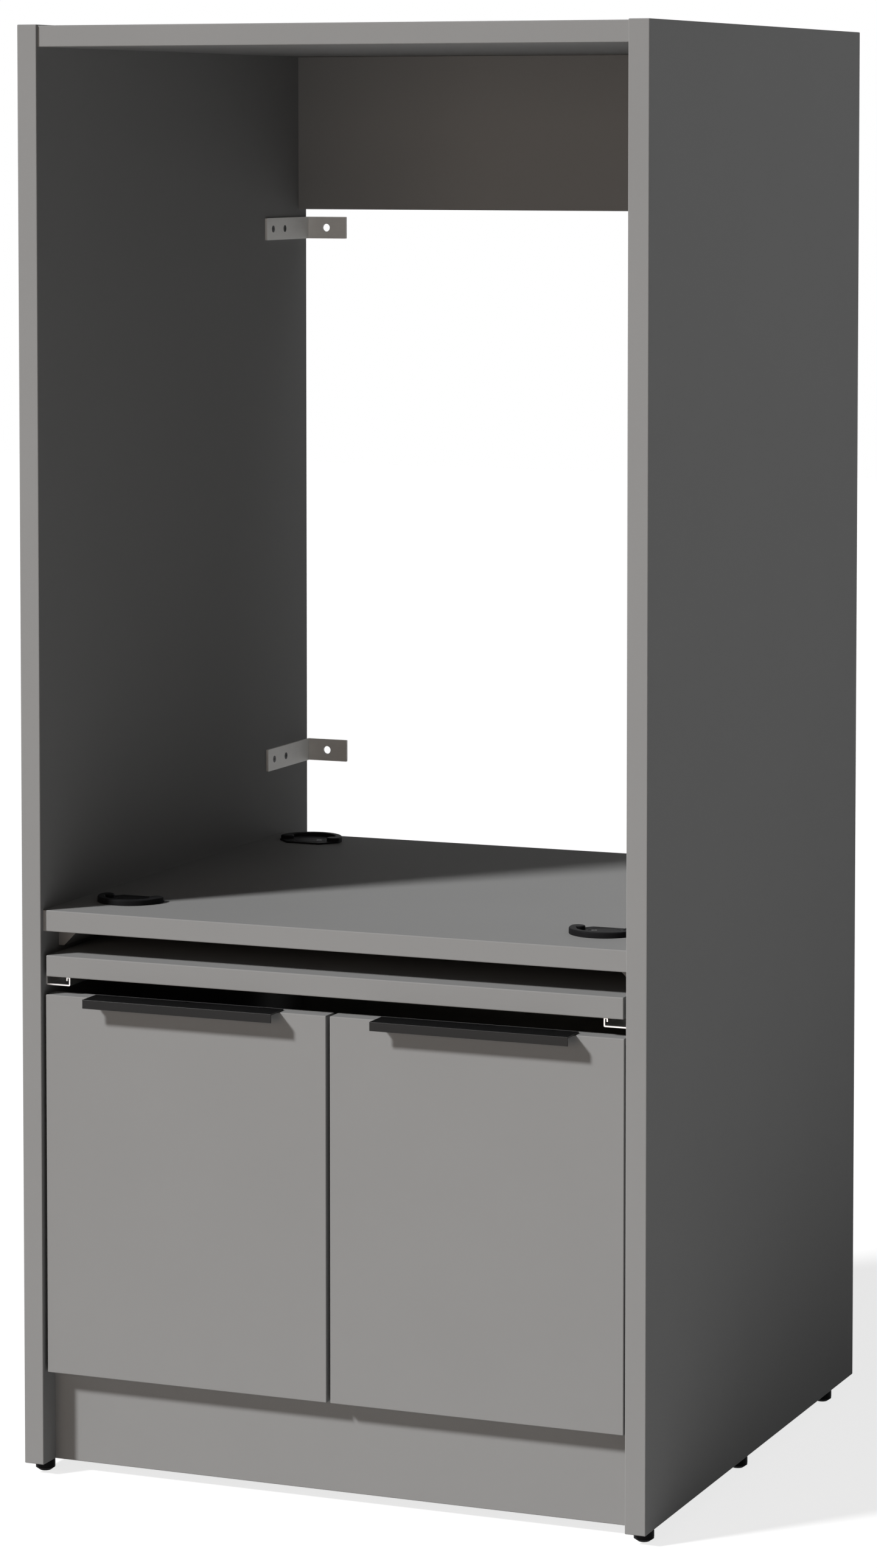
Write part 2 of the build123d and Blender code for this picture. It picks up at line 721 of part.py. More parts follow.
def inner_link():
    """The curved inner link, from its pin in the cup to its pin in the arm."""
    cup_end = on_hinge(CUP_PIVOT_IN)
    arm_end = on_hinge(ARM_PIVOT_IN)
    path = [cup_end] + [on_hinge(point) for point in LINK_BEND] + [arm_end]
    outline = strap(path, LINK_T) + disc_at(cup_end, EYE_R) + disc_at(arm_end, EYE_R)
    outline -= disc_at(cup_end, PIN_R + PIN_PLAY)
    outline -= disc_at(arm_end, PIN_R + PIN_PLAY)
    return extrude(outline, LINK_HALF, both=True)


def outer_link():
    """The outer link's two plates, slotted where they ride on the arm's front pin."""
    cup_end = on_hinge(CUP_PIVOT_OUT)
    arm_end = on_hinge(ARM_PIVOT_OUT)
    slot_end = (arm_end[0] + SLOT_RUN[0], arm_end[1] + SLOT_RUN[1])
    outline = strap([cup_end, on_hinge(OUTER_BEND), arm_end], OUTER_W)
    outline += disc_at(cup_end, EYE_R)
    outline += strap([arm_end, slot_end], 2 * (SLOT_R + SLOT_WALL))
    outline -= disc_at(cup_end, PIN_R + PIN_PLAY)
    outline -= strap([arm_end, slot_end], 2 * SLOT_R)
    return twin_plates(outline, OUTER_Z, OUTER_T)


def hinge_arm(name):
    """The cranked arm: two cheeks joined by a spine, with the links' pins across."""
    rear_pin = Vector(*on_hinge(ARM_PIVOT_IN))
    front_pin = Vector(*on_hinge(ARM_PIVOT_OUT))
    ahead = (front_pin - rear_pin).normalized()
    away = Vector(-ahead.Y, ahead.X)
    nose = front_pin + ahead * ARM_R
    spine_x = ARM_SPINE_X + ARM_T
    outline = Polyline(nose + away * ARM_R, nose - away * ARM_R, rear_pin - away * ARM_R,
                       on_hinge((ARM_CHEEK_X, ARM_CRANK_Y)), on_hinge((ARM_CHEEK_X, ARM_REAR)),
                       on_hinge((spine_x, ARM_REAR)), on_hinge((spine_x, ARM_CRANK_Y)),
                       rear_pin + away * ARM_R, close=True)
    cheek = make_face(outline)
    cheek = fillet(cheek.vertices(), ARM_T)
    inside = ARM_R - ARM_T
    hollow = Polyline(nose + away * inside + ahead * ARM_REAR, rear_pin + away * inside,
                      on_hinge((ARM_SPINE_X, ARM_CRANK_Y)), on_hinge((ARM_SPINE_X, 2 * ARM_REAR)),
                      on_hinge((-ARM_REAR, 2 * ARM_REAR)), on_hinge((-ARM_REAR, -ARM_REAR)),
                      close=True)
    arm = extrude(cheek, HINGE_HALF, both=True) - extrude(make_face(hollow), EAR_Z, both=True)
    pin_end = EAR_Z + EAR_T / 2
    for pin in (front_pin, rear_pin):
        arm += bar(PIN_R, (pin.X, pin.Y, -pin_end), (pin.X, pin.Y, pin_end))
    return cut_all(Pos(0, 0, HINGE_HEIGHTS[name]) * arm, clamp_screws(SNUG))


def hinge_plate(name):
    """The plate on the side that the arm is clamped on."""
    height = HINGE_HEIGHTS[name]
    start = DOOR_BACK_Y + PLATE_START
    rear = DOOR_BACK_Y + ARM_REAR
    half = EAR_Z - FIT
    core = block((-INNER_X, -INNER_X + ARM_SPINE_X), (start, rear), (height - half, height + half))
    middle = DOOR_BACK_Y + PLATE_WING_Y
    wing_y = (middle - PLATE_WING_W / 2, middle + PLATE_WING_W / 2)
    wing = block((-INNER_X, -INNER_X + PLATE_WING_T), wing_y,
                 (height - PLATE_WING_HALF, height + PLATE_WING_HALF))
    wing = fillet(wing.edges().filter_by(Axis.X), FLANGE_R)
    return cut_all(core + wing, plate_screws(SNUG) + clamp_screws(SNUG))


def carcass():
    """The boards, battens, dowels and screws of the box."""
    pieces = {"left_side_panel": left_side_panel()}
    pieces["right_side_panel"] = other_side(pieces["left_side_panel"])
    pieces.update(cross_boards())
    pieces["left_shelf_batten"] = left_shelf_batten()
    pieces["right_shelf_batten"] = other_side(pieces["left_shelf_batten"])
    pieces["carcass_dowels"] = both_sides(left_dowels())
    pieces["panel_screws"] = both_sides(batten_screws() + bracket_screws())
    pieces["door_bumpers"] = door_bumpers()
    return pieces


def brackets_and_cups():
    """Wall brackets, and the cups for the machine's feet with their screws."""
    pieces = {}
    for place, middle in BRACKET_HEIGHTS.items():
        bracket = wall_bracket(middle)
        pieces["left_" + place + "_wall_bracket"] = bracket
        pieces["right_" + place + "_wall_bracket"] = other_side(bracket)
    for place in ("front", "rear"):
        cup = machine_foot_cup(place == "front")
        pieces["left_" + place + "_machine_foot_cup"] = cup
        pieces["right_" + place + "_machine_foot_cup"] = other_side(cup)
    pieces["cup_screws"] = Compound(children=[s.solid() for s in cup_screws()])
    return pieces


def feet():
    """The levelling feet and the sleeves that they screw into."""
    pieces = {"foot_inserts": both_sides(left_inserts())}
    for name, y in zip(("front", "middle", "rear"), foot_places()):
        foot = levelling_foot(y)
        pieces["left_" + name + "_foot"] = foot
        pieces["right_" + name + "_foot"] = other_side(foot)
    return pieces


def pull_out():
    """The pull-out shelf and its runners."""
    pieces = {"pull_out_shelf": pull_out_shelf()}
    made = {"runner_rail": runner_rail(), "runner_glide": runner_glide(),
            "runner_slide": runner_slide()}
    for name, shape in made.items():
        pieces["left_" + name] = shape
        pieces["right_" + name] = other_side(shape)
    pieces["rail_screws"] = both_sides(rail_screws())
    pieces["slide_screws"] = both_sides(slide_screws())
    return pieces


def doors():
    """The doors with their handles, and every piece of their hinges."""
    pieces = {}
    heights = HINGE_HEIGHTS.values()
    left = {"door": left_door(), "handle": left_handle(),
            "handle_screws": Compound(children=[s.solid() for s in handle_screws()]),
            "hinge_cup_screws": Compound(children=[s.solid() for s in flange_screws()])}
    inner = [Pos(0, 0, z) * inner_link() for z in heights]
    outer = [Pos(0, 0, z) * outer_link() for z in heights]
    left["hinge_inner_links"] = Compound(children=[s.solid() for s in inner])
    left["hinge_outer_links"] = Compound(children=[s for pair in outer for s in pair.solids()])
    for name, height in HINGE_HEIGHTS.items():
        left[name + "_hinge_cup"] = cut_all(Pos(0, 0, height) * hinge_cup(), flange_screws(SNUG))
        left[name + "_hinge_arm"] = hinge_arm(name)
    for name, shape in left.items():
        pieces["left_" + name] = shape
        pieces["right_" + name] = other_side(shape)
    pieces["hinge_plates"] = both_sides([hinge_plate(name) for name in HINGE_HEIGHTS])
    pieces["hinge_screws"] = both_sides(plate_screws() + clamp_screws())
    return pieces


os.makedirs("parts", exist_ok=True)
cabinet = {**carcass(), **brackets_and_cups(), **feet(), **pull_out(), **doors()}
for node, piece in cabinet.items():
    export_step(piece, "parts/" + node + ".step")
print(len(cabinet), "nodes written")
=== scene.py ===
# %% [markdown]
# # Dressing a washing machine cabinet
# The cabinet is a tall box of grey boards. A machine stands in the open upper part, a
# shelf pulls out under it, and two doors close the bottom. Its shapes come ready made
# from the engineering model, so this notebook gives them their finishes, models the
# small moulded and stamped details, and sets up the floor, the lamps and the camera.

# %% Load the engineering model
import json
from math import radians, tau

import bmesh
import bpy
from mathutils import Matrix, Vector


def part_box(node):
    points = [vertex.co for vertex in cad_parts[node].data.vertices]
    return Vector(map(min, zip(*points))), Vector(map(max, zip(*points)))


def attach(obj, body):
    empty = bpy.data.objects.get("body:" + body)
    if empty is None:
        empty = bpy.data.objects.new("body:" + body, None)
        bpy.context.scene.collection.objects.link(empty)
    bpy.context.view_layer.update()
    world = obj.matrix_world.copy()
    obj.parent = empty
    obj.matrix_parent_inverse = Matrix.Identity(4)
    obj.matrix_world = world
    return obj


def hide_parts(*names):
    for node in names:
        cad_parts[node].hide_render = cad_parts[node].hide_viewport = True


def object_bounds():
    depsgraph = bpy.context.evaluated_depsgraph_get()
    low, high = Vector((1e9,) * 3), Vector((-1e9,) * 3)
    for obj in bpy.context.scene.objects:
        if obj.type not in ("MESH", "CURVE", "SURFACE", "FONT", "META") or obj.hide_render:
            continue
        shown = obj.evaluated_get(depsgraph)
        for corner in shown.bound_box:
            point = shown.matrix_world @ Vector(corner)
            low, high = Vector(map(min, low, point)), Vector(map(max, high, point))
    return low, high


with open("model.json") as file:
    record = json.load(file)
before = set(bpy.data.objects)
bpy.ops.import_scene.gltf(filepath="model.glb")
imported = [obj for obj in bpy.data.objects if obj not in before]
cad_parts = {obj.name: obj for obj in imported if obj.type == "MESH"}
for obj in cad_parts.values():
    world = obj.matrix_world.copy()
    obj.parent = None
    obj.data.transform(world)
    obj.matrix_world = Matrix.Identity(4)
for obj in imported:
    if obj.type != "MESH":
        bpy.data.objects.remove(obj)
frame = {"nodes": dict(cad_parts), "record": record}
nodes = frame["nodes"]
cad_box = [list(corner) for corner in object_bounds()]
print(len(nodes), "solid parts, from", cad_box[0], "to", cad_box[1])

# %% [markdown]
# ## The camera
# The photograph was taken from the right of the cabinet and from a little below the
# height of its top, with a long lens, so the boards hardly taper. A lens that looks
# straight ahead would need a very large shift to keep the cabinet in the picture. Here
# the camera tips down by a few degrees and shifts for the rest, which keeps the upright
# edges close to parallel and still leaves the whole cabinet in view from other sides.

# %% Place the camera
CAMERA_AT = Vector((1.9383, -4.7019, 1.3943))
CAMERA_TURN = 22.553
CAMERA_TIP = 3.613
SENSOR_WIDTH = 36.0
LENS = 109.597
LENS_SHIFT = -0.22
CLIP_END = 50.0

camera = bpy.data.objects.new("camera", bpy.data.cameras.new("camera"))
bpy.context.scene.collection.objects.link(camera)
turn = Matrix.Rotation(radians(CAMERA_TURN), 4, "Z")
tip = Matrix.Rotation(radians(90 - CAMERA_TIP), 4, "X")
camera.location = CAMERA_AT
camera.rotation_euler = (turn @ tip).to_euler()
camera.data.sensor_width = SENSOR_WIDTH
camera.data.lens = LENS
camera.data.shift_y = LENS_SHIFT
camera.data.clip_end = CLIP_END
bpy.context.scene.camera = camera

cabinet_middle = (Vector(cad_box[0]) + Vector(cad_box[1])) / 2
print("camera", (CAMERA_AT - cabinet_middle).length, "m from the cabinet's middle")

# %% [markdown]
# ## Helpers for node materials
# A material is a small net of nodes. Each net could be drawn by hand in the shader
# editor, but ten finishes share the same few moves. These four helpers find the
# Principled shader of a material, make a material around one, add a node with its
# settings, and join two sockets, so that each finish below reads as a recipe.

# %% Make materials
def shader_of(material):
    """The Principled shader of a material."""
    return material.node_tree.nodes["Principled BSDF"]


def finish(name, **sockets):
    """A Principled material with these plain values on its sockets."""
    material = bpy.data.materials.new(name)
    material.use_nodes = True
    for socket, value in sockets.items():
        shader_of(material).inputs[socket.replace("_", " ")].default_value = value
    return material


def add(owner, kind, **settings):
    """A new node of a material or world; settings are node fields, or sockets by name."""
    node = owner.node_tree.nodes.new(kind)
    for key, value in settings.items():
        if hasattr(node, key):
            setattr(node, key, value)
        else:
            node.inputs[key.replace("_", " ")].default_value = value
    return node


def join(owner, source, target):
    """A link from one socket to another."""
    owner.node_tree.links.new(source, target)


print("helpers for nets of nodes: shader_of, finish, add, join")

# %% [markdown]
# ## Patterns and what they drive
# No real surface has one tone all over. A noise gives the small variations, and a range
# spreads it between two numbers, which then drive a colour, a roughness or a relief.
# A painted image would need unwrapped boards. Noise needs only Object coordinates. They
# are in metres, so its scale is a number of grains per metre, and they stay with the
# piece when a door opens.

# %% Patterns
def place_of(material):
    """Object coordinates, in metres."""
    return add(material, "ShaderNodeTexCoord").outputs["Object"]


def noise(material, vector, scale, detail=3.0, roughness=0.5):
    """A noise pattern of this many grains per metre."""
    pattern = add(material, "ShaderNodeTexNoise", Scale=scale, Detail=detail, Roughness=roughness)
    join(material, vector, pattern.inputs["Vector"])
    return pattern.outputs["Fac"]


def spread(material, value, low, high, edges=(0.3, 0.7)):
    """A pattern's values spread between two numbers."""
    ramp = add(material, "ShaderNodeMapRange", From_Min=edges[0], From_Max=edges[1],
               To_Min=low, To_Max=high)
    join(material, value, ramp.inputs["Value"])
    return ramp.outputs["Result"]


print("patterns: place_of, noise, spread")

# %% Colour, roughness and relief from a pattern
MICRON = 0.000001


def tint(material, value, dark, light):
    """A colour between two tones, by a pattern, into the shader's base colour."""
    mix = add(material, "ShaderNodeMix", data_type="RGBA")
    mix.inputs["A"].default_value = (*dark, 1)
    mix.inputs["B"].default_value = (*light, 1)
    join(material, value, mix.inputs["Factor"])
    join(material, mix.outputs["Result"], shader_of(material).inputs["Base Color"])


def roughen(material, value, rough):
    """A roughness between two numbers, by a pattern."""
    join(material, spread(material, value, *rough), shader_of(material).inputs["Roughness"])


def relief(material, *layers):
    """Fine height patterns, each with its depth in microns, as bumps on the shader."""
    last = None
    for value, depth in layers:
        bump = add(material, "ShaderNodeBump", Distance=depth * MICRON)
        join(material, value, bump.inputs["Height"])
        if last is not None:
            join(material, last, bump.inputs["Normal"])
        last = bump.outputs["Normal"]
    join(material, last, shader_of(material).inputs["Normal"])
    print(material.name, "made of", len(material.node_tree.nodes), "nodes")


print("what patterns drive: tint, roughen, relief")

# %% [markdown]
# ## Grey lacquered board
# The boards have a smooth matt grey coat with no wood grain to see. Close up, such a
# coat has a very fine orange peel and a hardly visible cloudiness, and the light slides
# softly along the rounded edges. One flat grey would look like plain plastic, so three
# layers of noise make the coat: a broad one for the tone, a fine one for the sheen and
# a very shallow relief, and a middle one that makes the relief less even.

# %% The boards' finish
BOARD_GREY = (0.268, 0.268, 0.267)
BOARD_GREY_DEEP = (0.262, 0.262, 0.261)
BOARD_GLOSS = 0.03
BOARD_ROUGH = (0.62, 0.7)
CLOUDS, PEEL, RIPPLE = 7.0, 900.0, 160.0

grey_board = finish("grey board", Specular_IOR_Level=BOARD_GLOSS)
board_place = place_of(grey_board)
clouds = noise(grey_board, board_place, CLOUDS, detail=4.0, roughness=0.6)
peel = noise(grey_board, board_place, PEEL, detail=2.0)
ripple = noise(grey_board, board_place, RIPPLE, detail=2.0)
tint(grey_board, spread(grey_board, clouds, 0.0, 1.0), BOARD_GREY_DEEP, BOARD_GREY)
roughen(grey_board, peel, BOARD_ROUGH)
relief(grey_board, (peel, 12), (ripple, 20))

# %% [markdown]
# ## Black anodised aluminium
# The pulls on the doors are bent from black anodised sheet. The black coat hides the
# metal, so it shades like a dark plastic with a satin sheen, and it shows mostly by what
# it mirrors: the lip looks at the bright room, the plate behind it at the dark gap, and
# the bent edge between them catches a thin line of light. A metallic shader would mirror
# far too much here. A faint brushing runs along the pull, and a noise that is stretched
# along X gives it.

# %% The pulls' finish
PULL_DARK = (0.0056, 0.0056, 0.0058)
PULL_LIGHT = (0.007, 0.007, 0.0073)
PULL_GLOSS = 0.24
PULL_ROUGH = (0.31, 0.35)
BRUSHING = (9.0, 1300.0, 1300.0)


def grained(material, grain, detail):
    """Noise with grain that runs one way, by the grains per metre along X, Y and Z."""
    mapping = add(material, "ShaderNodeMapping", Scale=grain)
    join(material, place_of(material), mapping.inputs["Vector"])
    return noise(material, mapping.outputs["Vector"], 1.0, detail)


black_aluminium = finish("black aluminium", Specular_IOR_Level=PULL_GLOSS)
brushed = grained(black_aluminium, BRUSHING, detail=3.0)
tint(black_aluminium, spread(black_aluminium, brushed, 0.0, 1.0), PULL_DARK, PULL_LIGHT)
roughen(black_aluminium, brushed, PULL_ROUGH)
relief(black_aluminium, (brushed, 2))

# %% [markdown]
# ## Steel finishes
# Four kinds of steel show. The wall brackets are dull galvanised strip, a little warm;
# their thick zinc coat scatters most of the light, so they are only part metallic. Their
# very pale tone is partly their own and partly painted light, raised so that they stay
# bright in the shade at the back of the niche. The runners are paler rolled sheet. The
# hinges and the runners' screws are bright zinc, and the screws through the brackets,
# cups and pulls are blackened. They differ in tone, in roughness and in how their grain
# runs, so one function makes them all from a few values: the grain is stretched noise,
# and the cloudy patches of the coat are a broad noise that is multiplied with it.

# %% Make a steel
ZINC_PATCHES = 90.0
PATCH_EDGES = (0.12, 0.4)


def steel(name, dark, light, rough, grain, depth, metal=1.0, gloss=0.5):
    """Plated steel with grain in one direction and faint cloudy patches."""
    material = finish(name, Metallic=metal, Specular_IOR_Level=gloss)
    lines = grained(material, grain, detail=4.0)
    patches = noise(material, place_of(material), ZINC_PATCHES)
    blend = add(material, "ShaderNodeMath", operation="MULTIPLY")
    join(material, lines, blend.inputs[0])
    join(material, patches, blend.inputs[1])
    tone = spread(material, blend.outputs["Value"], 0.0, 1.0, PATCH_EDGES)
    tint(material, tone, dark, light)
    roughen(material, patches, rough)
    relief(material, (lines, depth))
    return material


# The brackets' pale tone below is partly painted light that keeps them bright in the niche's
# shade.
bracket_steel = steel("bracket steel", (0.76, 0.75, 0.73), (0.8, 0.79, 0.77), (0.55, 0.65),
                      (60.0, 60.0, 1500.0), depth=3, metal=0.16, gloss=0.15)
runner_steel = steel("runner steel", (0.72, 0.72, 0.72), (0.8, 0.8, 0.8), (0.32, 0.4),
                     (1200.0, 30.0, 1200.0), depth=4)
zinc_steel = steel("zinc steel", (0.56, 0.57, 0.59), (0.66, 0.67, 0.69), (0.3, 0.4),
                   (700.0, 40.0, 700.0), depth=4)
black_steel = steel("black steel", (0.02, 0.02, 0.021), (0.045, 0.045, 0.047), (0.35, 0.5),
                    (400.0, 400.0, 400.0), depth=10)

# %% [markdown]
# ## Plastics and soft discs
# The cups for the machine's feet and the levelling feet are moulded black plastic with
# a fine sparked texture. The strips in the runners are white nylon, and the small discs
# that the doors close on are soft and milky. All of them are one colour through and
# through, so one function gives a tone, a sparked sheen and the same sparks as relief.
# Only the milky discs also let some light pass.

# %% Moulded finishes
MOULD_CLOUDS = 60.0
DEEPER = 0.8
MILKY = 0.35


def moulded(name, colour, rough, grains, depth, gloss=0.5):
    """Moulded plastic: one colour, with a sparked texture in sheen and height."""
    material = finish(name, Specular_IOR_Level=gloss)
    sparks = noise(material, place_of(material), grains)
    clouds = noise(material, place_of(material), MOULD_CLOUDS)
    deep = tuple(DEEPER * tone for tone in colour)
    tint(material, spread(material, clouds, 0.0, 1.0), deep, colour)
    roughen(material, sparks, rough)
    relief(material, (sparks, depth))
    return material


black_plastic = moulded("black plastic", (0.014, 0.014, 0.015), (0.52, 0.6),
                        grains=1500.0, depth=6, gloss=0.02)
white_plastic = moulded("white plastic", (0.8, 0.8, 0.79), (0.3, 0.4), grains=900.0, depth=10)
soft_bumper = moulded("soft bumper", (0.72, 0.72, 0.71), (0.25, 0.35), grains=500.0, depth=10)
shader_of(soft_bumper).inputs["Transmission Weight"].default_value = MILKY

# %% [markdown]
# ## Beech
# The dowels between the boards are beech, whose grain is short dark flecks along the
# pin. A wave texture would give rings, as on a board cut from a log, but a pin shows
# only the flecks, so it gets the same stretched noise as the brushed pulls.

# %% The dowels' finish
BEECH_DARK = (0.42, 0.27, 0.14)
BEECH_LIGHT = (0.66, 0.48, 0.3)
FLECKS = (90.0, 1400.0, 1400.0)

beech_dowel = finish("beech dowel", Roughness=0.6)
flecks = grained(beech_dowel, FLECKS, detail=4.0)
tint(beech_dowel, spread(beech_dowel, flecks, 0.0, 1.0), BEECH_DARK, BEECH_LIGHT)
relief(beech_dowel, (flecks, 40))

# %% [markdown]
# ## Dress every part
# The model's record says which finish each part is made of. Sixty parts could be dressed
# by hand, but going by that record means that no part is forgotten, and a finish with a
# wrong name stops the script.

# %% Put the finishes on
FINISHES = {"grey_board": grey_board, "black_aluminium": black_aluminium,
            "black_steel": black_steel, "zinc_steel": zinc_steel,
            "runner_steel": runner_steel, "bracket_steel": bracket_steel,
            "black_plastic": black_plastic, "white_plastic": white_plastic,
            "soft_bumper": soft_bumper, "beech_dowel": beech_dowel}


def dress(piece, material):
    """Puts one finish on every material slot of a piece."""
    if not piece.data.materials:
        piece.data.materials.append(material)
    for place in piece.material_slots:
        place.material = material


for part in frame["record"]["subparts"]:
    dress(nodes[part["node"]], FINISHES[part["material_slot"]])

# %% [markdown]
# ## Helpers for the small pieces
# The next pieces are turned or stamped in real life, so they are made the same way here:
# a half outline is spun round an axis into a small shape, and the shape is stamped into
# place as often as the cabinet has it. Sizes come from the boxes of the parts that carry
# the pieces, so that a piece sits on its part.

# %% Turn and stamp small shapes
MM = 0.001
MERGE = 1e-6
TURN_STEPS = 24


def turned(outline, steps=TURN_STEPS):
    """A small shape turned round Z from a half outline of radius and height in mm."""
    form = bmesh.new()
    points = [form.verts.new((radius * MM, 0, height * MM)) for radius, height in outline]
    lines = [form.edges.new(pair) for pair in zip(points, points[1:])]
    bmesh.ops.spin(form, geom=points + lines, cent=(0, 0, 0), axis=(0, 0, 1),
                   angle=tau, steps=steps, use_merge=True)
    bmesh.ops.remove_doubles(form, verts=form.verts, dist=MERGE)
    return form


def as_shape(form):
    """A finished small form as a mesh that can be stamped."""
    shape = bpy.data.meshes.new("shape")
    form.to_mesh(shape)
    form.free()
    return shape


def stamp(form, shape, place):
    """Adds a copy of a small shape to a form, at this place."""
    before = len(form.verts)
    form.from_mesh(shape)
    form.verts.ensure_lookup_table()
    bmesh.ops.transform(form, matrix=place, verts=form.verts[before:])


def facing(place, direction):
    """A place whose Z axis points along this direction."""
    turn_to = Vector(direction).to_track_quat("Z", "Y").to_matrix().to_4x4()
    return Matrix.Translation(place) @ turn_to


print("helpers for small shapes: turned, as_shape, stamp, facing")

# %% Cut a form and make it a piece
ON_PLANE = 1e-7


def cut_off(form, at, normal):
    """Cuts away what lies behind a plane and closes the cut."""
    everything = form.verts[:] + form.edges[:] + form.faces[:]
    cut = bmesh.ops.bisect_plane(form, geom=everything, dist=ON_PLANE, clear_inner=True,
                                 plane_co=at, plane_no=normal)
    rim = [edge for edge in cut["geom_cut"] if isinstance(edge, bmesh.types.BMEdge)]
    if rim:
        bmesh.ops.holes_fill(form, edges=rim)


def make_piece(form, name, body, slot):
    """Turns a form into a piece that rides on a body and takes this finish."""
    bmesh.ops.recalc_face_normals(form, faces=form.faces)
    mesh = bpy.data.meshes.new(name)
    form.to_mesh(mesh)
    form.free()
    piece = bpy.data.objects.new(name, mesh)
    bpy.context.scene.collection.objects.link(piece)
    dress(piece, FINISHES[slot])
    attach(piece, body)
    print(name, "on", body, "with", len(mesh.polygons), "faces")
    return piece


print("helpers for pieces: cut_off, make_piece")

# %% [markdown]
# ## Rivets of the hinges
# Each hinge turns on pins whose ends are peened over into low domes. The arm has two,
# which stay with the cabinet, and the cup has one, which moves with the door. A squashed
# ball would do from far away, but its rim would be too steep. Here a dome is a low arc
# turned round its axis, and its rim goes a little into the cheek so that no light shows
# under it. Every place is measured from the side's inner face and the door's back.

# %% Where the hinges are
SIDES = {"left": -1, "right": 1}
INNER_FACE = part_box("right_side_panel")[0][0]
DOOR_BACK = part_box("left_door")[1][1]
CHEEK = 8.1 * MM
hinge_heights = [sum(corner[2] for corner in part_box(name)) / 2
                 for name in ("left_lower_hinge_cup", "left_upper_hinge_cup")]
print("hinges at", [round(height, 4) for height in hinge_heights])


def on_hinge(side, across, behind):
    """X and Y of a point of a hinge, in mm from the side's inner face and the door's back."""
    return SIDES[side] * (INNER_FACE - across * MM), DOOR_BACK + behind * MM


# %% Peened rivet heads
ARM_PINS = ((28.47, 36.77), (45.0, 12.15))
CUP_PIN = (15.39, -9.40)
DOME_OUTLINE = ((0, 0.62), (0.7, 0.58), (1.35, 0.42), (1.8, 0.16), (1.95, -0.1))
dome = as_shape(turned(DOME_OUTLINE))


def rivets(side, pins):
    """Domes on both cheeks of the hinges of one side, at these pins."""
    form = bmesh.new()
    for height in hinge_heights:
        for across, behind in pins:
            x, y = on_hinge(side, across, behind)
            for way in (-1, 1):
                stamp(form, dome, facing((x, y, height + way * CHEEK), (0, 0, way)))
    return form


for side in SIDES:
    make_piece(rivets(side, ARM_PINS), side + "_arm_rivets", "cabinet", "zinc_steel")
    make_piece(rivets(side, [CUP_PIN]), side + "_cup_rivets", side + "_door", "zinc_steel")

# %% [markdown]
# ## Adjusting screws of the hinges
# In front of the screw that clamps it, each arm has a second one that shifts the door
# sideways. Its head is a low disc with a cross. A cross could be cut out of a disc with
# a boolean, which often leaves ragged edges on such a small form. Here the cross is what
# remains between four quarter discs: one disc is cut by two planes into a quarter, which
# is stamped four times on a thinner disc.

# %% The parts of a cross-headed screw
SLOT_HALF = 0.4
BASE_OUTLINE = ((0, -0.2), (2.7, -0.2), (2.7, 0.35), (2.5, 0.5), (0, 0.5))
QUARTER_OUTLINE = ((0, 0.4), (2.5, 0.4), (2.5, 0.95), (2.2, 1.2), (0, 1.2))

base = as_shape(turned(BASE_OUTLINE))
quarter_form = turned(QUARTER_OUTLINE)
for normal in ((1, 0, 0), (0, 1, 0)):
    cut_off(quarter_form, Vector(normal) * SLOT_HALF * MM, normal)
quarter = as_shape(quarter_form)
print("base and quarter with", len(base.polygons), "and", len(quarter.polygons), "faces")

# %% Adjusting screws
SPINE = 10.5
ADJUSTER_BEHIND = 64.0
CROSS_TURN = 0.35

for side in SIDES:
    form = bmesh.new()
    for height in hinge_heights:
        x, y = on_hinge(side, SPINE, ADJUSTER_BEHIND)
        seat = facing((x, y, height), (-SIDES[side], 0, 0))
        stamp(form, base, seat)
        for quarters in range(4):
            turned_by = Matrix.Rotation(CROSS_TURN + quarters * tau / 4, 4, "Z")
            stamp(form, quarter, seat @ turned_by)
    make_piece(form, side + "_adjusting_screws", "cabinet", "zinc_steel")

# %% [markdown]
# ## Grip ribs in the cups
# The machine's feet stand in the four cups, and moulded ribs on the cup's floor stop
# them from creeping when the drum spins. Relief in the material could fake them, but
# would leave the floor flat in outline, so they are real rings. Each is a rounded profile
# that is spun round and then cut off a little inside the straight edge of the floor.

# %% Ribs on the cup floors
CUP_R = 36.0
CUP_FLOOR = 2.0
CUP_CHORD = 22.0
RIB_RADII = (17.0, 23.0)
RIB_PROFILE = ((-0.7, -0.1), (-0.45, 0.18), (0, 0.25), (0.45, 0.18), (0.7, -0.1), (-0.7, -0.1))
RIB_STEPS = 64
RIB_INSET = 3.0


def cup_ribs(name, front):
    """The rings of one cup, open where its floor is cut off straight."""
    low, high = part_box(name)
    outward = Vector((0, -1 if front else 1, 0))
    across = low[1] + CUP_R * MM if front else high[1] - CUP_R * MM
    middle = Vector(((low[0] + high[0]) / 2, across, low[2]))
    form = bmesh.new()
    for radius in RIB_RADII:
        outline = [(radius + aside, CUP_FLOOR + up) for aside, up in RIB_PROFILE]
        ring = turned(outline, RIB_STEPS)
        cut_off(ring, -outward * (CUP_CHORD - RIB_INSET) * MM, outward)
        stamp(form, as_shape(ring), Matrix.Translation(middle))
    return form


for side in SIDES:
    for place in ("front", "rear"):
        cup = side + "_" + place + "_machine_foot_cup"
        name = side + "_" + place + "_cup_ribs"
        make_piece(cup_ribs(cup, place == "front"), name, "cabinet", "black_plastic")

# %% [markdown]
# ## Grip on the levelling feet
# The feet are turned by hand to level the cabinet, so their rims have low ridges for
# the fingers. One ridge is a small bar with rounded edges, stamped round the foot, which
# is quicker to change than an outline with twenty waves. The bars stand out of the rim
# by a fraction of a millimetre, ride on their foot and turn with it.

# %% One ridge
RIDGE_SIZE = (0.9, 1.1, 6.4)
RIDGE_ROUND = 0.4

